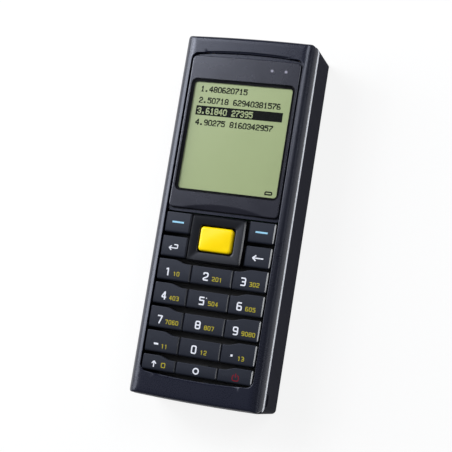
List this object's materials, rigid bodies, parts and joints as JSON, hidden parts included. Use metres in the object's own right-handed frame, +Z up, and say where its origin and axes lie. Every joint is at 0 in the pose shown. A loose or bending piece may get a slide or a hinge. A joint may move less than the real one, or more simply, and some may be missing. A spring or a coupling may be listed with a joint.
{
  "type": "portable barcode data terminal",
  "caption": "Slim handheld data terminal with a large display, a rocking ring round a scan key, numeric keys, an end scanner window and a hinged battery door.",
  "frame": {"origin": "middle of the footprint of the case, on its flat back", "axes": "+Z up out of the display and keys, +Y along the case towards the scanning end, +X across it to the user's right"},
  "size_m": [0.0536, 0.142, 0.0281],
  "materials": {
    "front_plastic": "satin blue-black",
    "rear_plastic": "satin near-black",
    "seal_rubber": "matte",
    "lens": "clear, hard coated",
    "mask_print": "grey-violet print behind the lens",
    "lcd_glass": "grey-green reflective",
    "white_plastic": "moulded",
    "flex_film": "film",
    "light_pipe": "frosted",
    "led": "moulded",
    "board": "solder mask",
    "gold_plate": "gold plated",
    "tinned_steel": "tinned",
    "chip": "moulded",
    "cell_steel": "bright",
    "steel": "zinc plated",
    "engine_plastic": "moulded",
    "optic_glass": "coated",
    "red_led": "clear",
    "red_window": "deep red",
    "cell_wrap": "plain sleeve",
    "nickel": "nickel plated",
    "dark_window": "infrared black",
    "brass_insert": "knurled",
    "scan_yellow": "satin yellow",
    "ring_plastic": "satin",
    "key_plastic": "satin, printed legends",
    "latch_plastic": "satin"
  },
  "bodies": {
    "case": {"front_housing": "front_plastic", "rear_housing": "rear_plastic", "housing_seal": "seal_rubber", "display_lens": "lens", "lens_mask": "mask_print", "lcd_panel": "lcd_glass", "lcd_holder": "white_plastic", "display_flex": "flex_film", "light_pipes": "light_pipe", "status_leds": "led", "main_board": "board", "key_contacts": "gold_plate", "shield_can": "tinned_steel", "processor": "chip", "buzzer": "chip", "vibration_motor": "tinned_steel", "backup_cell": "cell_steel", "board_screws": "steel", "keypad_mat": "seal_rubber", "scan_engine": "engine_plastic", "scan_optics": "optic_glass", "scan_leds": "red_led", "scan_window": "red_window", "battery_cells": "cell_wrap", "contact_springs": "nickel", "contact_plates": "nickel", "charge_contacts": "gold_plate", "infrared_window": "dark_window", "case_screws": "steel", "screw_inserts": "brass_insert"},
    "soft_key_left": {"soft_key_left": "key_plastic"},
    "soft_key_right": {"soft_key_right": "key_plastic"},
    "escape_key": {"escape_key": "key_plastic"},
    "backspace_key": {"backspace_key": "key_plastic"},
    "key_1": {"key_1": "key_plastic"},
    "key_2": {"key_2": "key_plastic"},
    "key_3": {"key_3": "key_plastic"},
    "key_4": {"key_4": "key_plastic"},
    "key_5": {"key_5": "key_plastic"},
    "key_6": {"key_6": "key_plastic"},
    "key_7": {"key_7": "key_plastic"},
    "key_8": {"key_8": "key_plastic"},
    "key_9": {"key_9": "key_plastic"},
    "minus_key": {"minus_key": "key_plastic"},
    "key_0": {"key_0": "key_plastic"},
    "point_key": {"point_key": "key_plastic"},
    "function_key": {"function_key": "key_plastic"},
    "backlight_key": {"backlight_key": "key_plastic"},
    "power_key": {"power_key": "key_plastic"},
    "scan_key": {"scan_key": "scan_yellow"},
    "ring_collar": {"ring_collar": "seal_rubber"},
    "navigation_ring": {"navigation_ring": "ring_plastic"},
    "battery_door": {"battery_door": "rear_plastic"},
    "door_latch": {"door_latch": "latch_plastic"}
  },
  "joints": [
    {"name": "soft_key_left_press", "type": "slide", "parent": "case", "child": "soft_key_left", "axis": [0, 0, -1], "range_m": [0, 0.0008], "stiffness_N_per_m": 200},
    {"name": "soft_key_right_press", "type": "slide", "parent": "case", "child": "soft_key_right", "axis": [0, 0, -1], "range_m": [0, 0.0008], "stiffness_N_per_m": 200},
    {"name": "escape_key_press", "type": "slide", "parent": "case", "child": "escape_key", "axis": [0, 0, -1], "range_m": [0, 0.0008], "stiffness_N_per_m": 200},
    {"name": "backspace_key_press", "type": "slide", "parent": "case", "child": "backspace_key", "axis": [0, 0, -1], "range_m": [0, 0.0008], "stiffness_N_per_m": 200},
    {"name": "key_1_press", "type": "slide", "parent": "case", "child": "key_1", "axis": [0, 0, -1], "range_m": [0, 0.0008], "stiffness_N_per_m": 200},
    {"name": "key_2_press", "type": "slide", "parent": "case", "child": "key_2", "axis": [0, 0, -1], "range_m": [0, 0.0008], "stiffness_N_per_m": 200},
    {"name": "key_3_press", "type": "slide", "parent": "case", "child": "key_3", "axis": [0, 0, -1], "range_m": [0, 0.0008], "stiffness_N_per_m": 200},
    {"name": "key_4_press", "type": "slide", "parent": "case", "child": "key_4", "axis": [0, 0, -1], "range_m": [0, 0.0008], "stiffness_N_per_m": 200},
    {"name": "key_5_press", "type": "slide", "parent": "case", "child": "key_5", "axis": [0, 0, -1], "range_m": [0, 0.0008], "stiffness_N_per_m": 200},
    {"name": "key_6_press", "type": "slide", "parent": "case", "child": "key_6", "axis": [0, 0, -1], "range_m": [0, 0.0008], "stiffness_N_per_m": 200},
    {"name": "key_7_press", "type": "slide", "parent": "case", "child": "key_7", "axis": [0, 0, -1], "range_m": [0, 0.0008], "stiffness_N_per_m": 200},
    {"name": "key_8_press", "type": "slide", "parent": "case", "child": "key_8", "axis": [0, 0, -1], "range_m": [0, 0.0008], "stiffness_N_per_m": 200},
    {"name": "key_9_press", "type": "slide", "parent": "case", "child": "key_9", "axis": [0, 0, -1], "range_m": [0, 0.0008], "stiffness_N_per_m": 200},
    {"name": "minus_key_press", "type": "slide", "parent": "case", "child": "minus_key", "axis": [0, 0, -1], "range_m": [0, 0.0008], "stiffness_N_per_m": 200},
    {"name": "key_0_press", "type": "slide", "parent": "case", "child": "key_0", "axis": [0, 0, -1], "range_m": [0, 0.0008], "stiffness_N_per_m": 200},
    {"name": "point_key_press", "type": "slide", "parent": "case", "child": "point_key", "axis": [0, 0, -1], "range_m": [0, 0.0008], "stiffness_N_per_m": 200},
    {"name": "function_key_press", "type": "slide", "parent": "case", "child": "function_key", "axis": [0, 0, -1], "range_m": [0, 0.0008], "stiffness_N_per_m": 200},
    {"name": "backlight_key_press", "type": "slide", "parent": "case", "child": "backlight_key", "axis": [0, 0, -1], "range_m": [0, 0.0008], "stiffness_N_per_m": 200},
    {"name": "power_key_press", "type": "slide", "parent": "case", "child": "power_key", "axis": [0, 0, -1], "range_m": [0, 0.0008], "stiffness_N_per_m": 200},
    {"name": "scan_key_press", "type": "slide", "parent": "case", "child": "scan_key", "axis": [0, 0, -1], "range_m": [0, 0.0008], "stiffness_N_per_m": 200},
    {"name": "ring_tilt_up_down", "type": "hinge", "parent": "case", "child": "ring_collar", "pos_m": [0, -0.009, 0.0224], "axis": [1, 0, 0], "range_deg": [-2.5, 2.5], "stiffness_Nm_per_rad": 0.02},
    {"name": "ring_tilt_left_right", "type": "hinge", "parent": "ring_collar", "child": "navigation_ring", "pos_m": [0, -0.009, 0.0224], "axis": [0, 1, 0], "range_deg": [-2.5, 2.5], "stiffness_Nm_per_rad": 0.02},
    {"name": "door_hinge", "type": "hinge", "parent": "case", "child": "battery_door", "pos_m": [0, -0.001, 0.0016], "axis": [1, 0, 0], "range_deg": [0, 90]},
    {"name": "latch_slide", "type": "slide", "parent": "battery_door", "child": "door_latch", "axis": [0, -1, 0], "range_m": [0, 0.002]}
  ]
}
